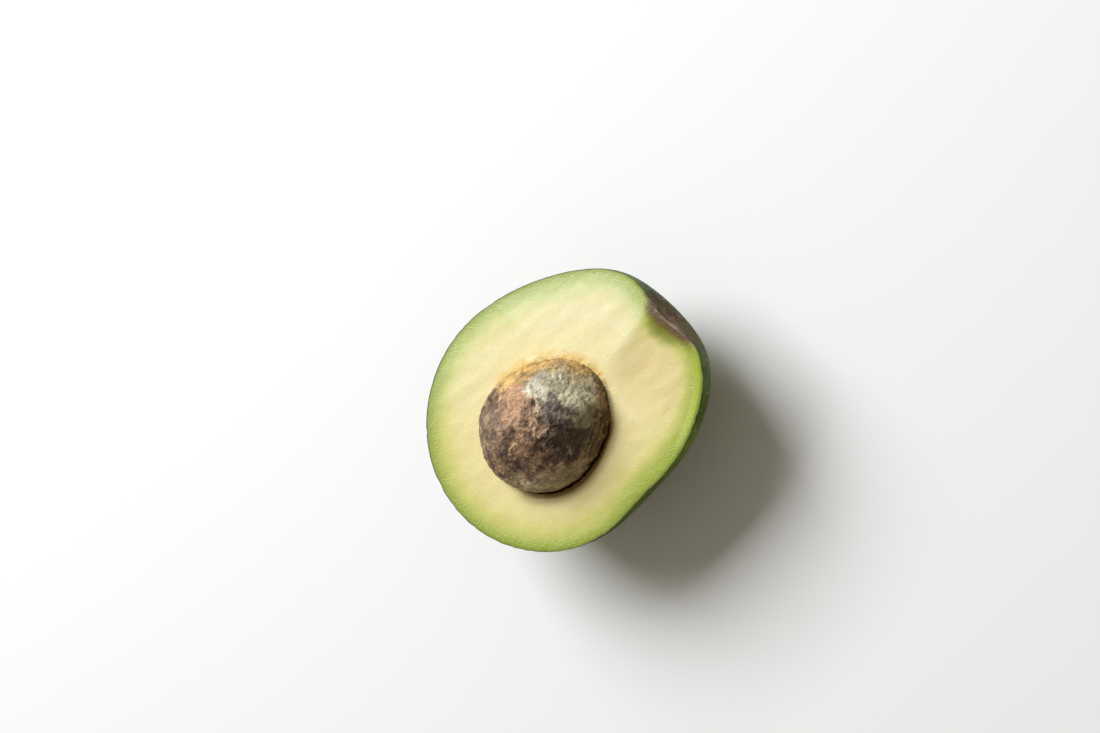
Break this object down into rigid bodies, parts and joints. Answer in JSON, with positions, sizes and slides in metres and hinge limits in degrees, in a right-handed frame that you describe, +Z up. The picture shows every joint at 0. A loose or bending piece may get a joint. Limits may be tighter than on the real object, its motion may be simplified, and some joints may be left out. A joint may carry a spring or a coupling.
{
  "type": "avocado half",
  "caption": "Avocado cut in half lengthways with its stone left in, lying skin down with the cut face up; thin peel, pale flesh and an egg-shaped stone.",
  "frame": {"origin": "middle of the small flat spot under the belly that the half rests on", "axes": "+X along the fruit to the stem end, +Y across the cut face, +Z up, out of the cut face"},
  "size_m": [0.0872, 0.0721, 0.0521],
  "materials": {
    "peel": "dark green, pebbled and softly waxy, with fine pale specks",
    "flesh": "cream, turning green under the peel, moist satin",
    "stone": "brown papery seed coat, mottled, dull"
  },
  "bodies": {
    "root": {"peel": "peel", "flesh": "flesh", "stone": "stone"}
  },
  "joints": []
}
